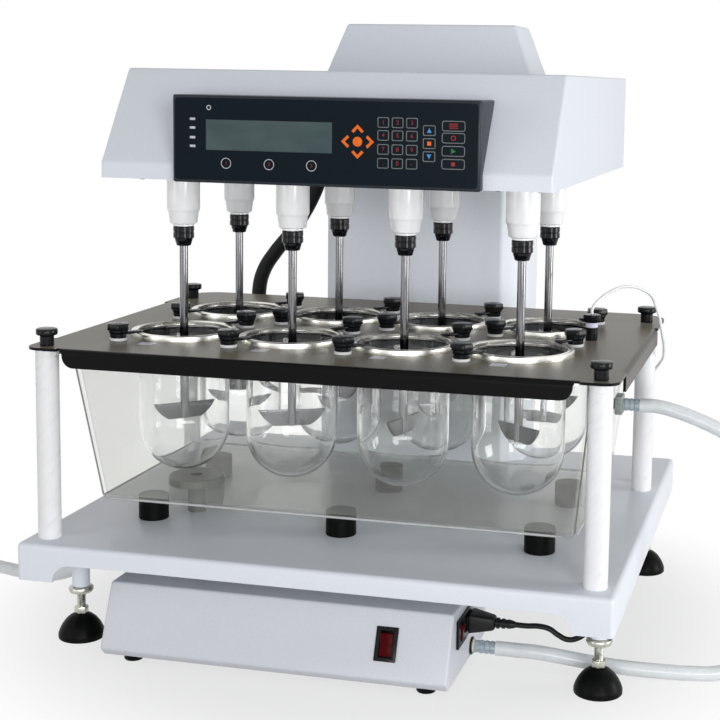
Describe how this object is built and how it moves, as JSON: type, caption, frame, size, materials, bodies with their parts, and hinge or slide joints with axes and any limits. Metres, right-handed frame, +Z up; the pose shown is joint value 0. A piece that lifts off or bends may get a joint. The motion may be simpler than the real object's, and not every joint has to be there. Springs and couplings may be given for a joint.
{
  "type": "dissolution tester",
  "caption": "Bench dissolution tester: a lifting head turns paddles in glass vessels that hang in a clear heated water tank under a black plate, with a separate heater box.",
  "frame": {"origin": "centre of the base tray's footprint, on the bench", "axes": "+Z up, +X to the right seen from the front, the front faces -Y"},
  "size_m": [1.0355, 0.586, 0.7119],
  "materials": {
    "powder_white": "satin powder coat",
    "plate_black": "gloss",
    "black_plastic": "satin",
    "panel_film": "printed film",
    "chuck_black": "gloss",
    "white_plastic": "gloss",
    "black_rubber": "matte",
    "tank_clear": "clear acrylic",
    "vessel_glass": "clear",
    "ring_steel": "polished",
    "shaft_steel": "polished",
    "zinc_steel": "zinc plated",
    "motor_grey": "satin",
    "fitting_grey": "moulded",
    "hose_milky": "translucent",
    "cable_pale": "satin",
    "switch_red": "gloss"
  },
  "bodies": {
    "base": {"base_tray": "powder_white", "corner_posts": "powder_white", "heater_case": "powder_white", "column_shell": "powder_white", "vessel_plate": "plate_black", "corner_knobs": "black_plastic", "clamp_knobs": "black_plastic", "heater_bezel": "black_plastic", "mains_inlets": "black_plastic", "lead_plug": "black_plastic", "lead": "black_plastic", "cable_glands": "black_plastic", "temperature_probe": "black_plastic", "cable_sleeve": "black_plastic", "vessel_clamps": "white_plastic", "rubber_feet": "black_rubber", "tank": "tank_clear", "vessels": "vessel_glass", "vessel_rings": "ring_steel", "lift_frame": "zinc_steel", "drain_fitting": "fitting_grey", "hose_barbs": "fitting_grey", "drain_plug": "fitting_grey", "return_hose": "hose_milky", "supply_hose": "hose_milky", "drain_hose": "hose_milky", "probe_cable": "cable_pale"},
    "head": {"head_cover": "powder_white", "head_plate": "zinc_steel", "hood": "powder_white", "panel_housing": "black_plastic", "panel_overlay": "panel_film", "lift_carriage": "zinc_steel", "drive_motor": "motor_grey", "drive_belt": "black_rubber", "spindle_housings": "white_plastic"},
    "lift_screw": {"lift_screw": "zinc_steel"},
    "motor_pulley": {"motor_pulley": "zinc_steel"},
    "heater_rocker": {"heater_rocker": "switch_red"},
    "inlet_rocker": {"inlet_rocker": "switch_red"},
    "spindle_1": {"chuck_1": "chuck_black", "paddle_1": "shaft_steel"},
    "spindle_2": {"chuck_2": "chuck_black", "paddle_2": "shaft_steel"},
    "spindle_3": {"chuck_3": "chuck_black", "paddle_3": "shaft_steel"},
    "spindle_4": {"chuck_4": "chuck_black", "paddle_4": "shaft_steel"},
    "spindle_5": {"chuck_5": "chuck_black", "paddle_5": "shaft_steel"},
    "spindle_6": {"chuck_6": "chuck_black", "paddle_6": "shaft_steel"},
    "spindle_7": {"chuck_7": "chuck_black", "paddle_7": "shaft_steel"},
    "spindle_8": {"chuck_8": "chuck_black", "paddle_8": "shaft_steel"},
    "foot_stem_1": {"foot_stem_1": "zinc_steel"},
    "foot_stem_2": {"foot_stem_2": "zinc_steel"},
    "foot_stem_3": {"foot_stem_3": "zinc_steel"},
    "foot_stem_4": {"foot_stem_4": "zinc_steel"}
  },
  "joints": [
    {"name": "head_lift", "type": "slide", "parent": "base", "child": "head", "axis": [0, 0, 1], "range_m": [0, 0.15], "deforming": ["cable_sleeve"]},
    {"name": "lift_screw_turn", "type": "hinge", "parent": "base", "child": "lift_screw", "pos_m": [0, 0.211, 0.45], "axis": [0, 0, 1], "range_deg": [-2705, 5]},
    {"name": "heater_switch", "type": "hinge", "parent": "base", "child": "heater_rocker", "pos_m": [0.081, -0.25183, 0.04891], "axis": [-1, 0, 0], "range_deg": [0, 16]},
    {"name": "inlet_switch", "type": "hinge", "parent": "base", "child": "inlet_rocker", "pos_m": [0.149, -0.214, 0.057], "axis": [0, -1, 0], "range_deg": [0, 16]},
    {"name": "motor_turn", "type": "hinge", "parent": "head", "child": "motor_pulley", "pos_m": [0, 0.022, 0.556], "axis": [0, 0, 1], "continuous": true},
    {"name": "spindle_1_turn", "type": "hinge", "parent": "head", "child": "spindle_1", "pos_m": [-0.195, -0.144, 0.46], "axis": [0, 0, 1], "continuous": true},
    {"name": "spindle_2_turn", "type": "hinge", "parent": "head", "child": "spindle_2", "pos_m": [-0.065, -0.144, 0.46], "axis": [0, 0, 1], "continuous": true},
    {"name": "spindle_3_turn", "type": "hinge", "parent": "head", "child": "spindle_3", "pos_m": [0.065, -0.144, 0.46], "axis": [0, 0, 1], "continuous": true},
    {"name": "spindle_4_turn", "type": "hinge", "parent": "head", "child": "spindle_4", "pos_m": [0.195, -0.144, 0.46], "axis": [0, 0, 1], "continuous": true},
    {"name": "spindle_5_turn", "type": "hinge", "parent": "head", "child": "spindle_5", "pos_m": [-0.195, 0.022, 0.46], "axis": [0, 0, 1], "continuous": true},
    {"name": "spindle_6_turn", "type": "hinge", "parent": "head", "child": "spindle_6", "pos_m": [-0.065, 0.022, 0.46], "axis": [0, 0, 1], "continuous": true},
    {"name": "spindle_7_turn", "type": "hinge", "parent": "head", "child": "spindle_7", "pos_m": [0.065, 0.022, 0.46], "axis": [0, 0, 1], "continuous": true},
    {"name": "spindle_8_turn", "type": "hinge", "parent": "head", "child": "spindle_8", "pos_m": [0.195, 0.022, 0.46], "axis": [0, 0, 1], "continuous": true},
    {"name": "foot_1_turn", "type": "hinge", "parent": "base", "child": "foot_stem_1", "pos_m": [-0.298, -0.2, 0.07], "axis": [0, 0, 1], "continuous": true},
    {"name": "foot_2_turn", "type": "hinge", "parent": "base", "child": "foot_stem_2", "pos_m": [0.298, -0.2, 0.07], "axis": [0, 0, 1], "continuous": true},
    {"name": "foot_3_turn", "type": "hinge", "parent": "base", "child": "foot_stem_3", "pos_m": [-0.298, 0.218, 0.07], "axis": [0, 0, 1], "continuous": true},
    {"name": "foot_4_turn", "type": "hinge", "parent": "base", "child": "foot_stem_4", "pos_m": [0.298, 0.218, 0.07], "axis": [0, 0, 1], "continuous": true}
  ],
  "couplings": [
    {"joint": "lift_screw_turn", "follows": "head_lift", "rad_per_m": -314.16},
    {"joint": "motor_turn", "follows": "spindle_1_turn", "ratio": 1},
    {"joint": "spindle_2_turn", "follows": "spindle_1_turn", "ratio": 1},
    {"joint": "spindle_3_turn", "follows": "spindle_1_turn", "ratio": 1},
    {"joint": "spindle_4_turn", "follows": "spindle_1_turn", "ratio": 1},
    {"joint": "spindle_5_turn", "follows": "spindle_1_turn", "ratio": 1},
    {"joint": "spindle_6_turn", "follows": "spindle_1_turn", "ratio": 1},
    {"joint": "spindle_7_turn", "follows": "spindle_1_turn", "ratio": 1},
    {"joint": "spindle_8_turn", "follows": "spindle_1_turn", "ratio": 1}
  ]
}
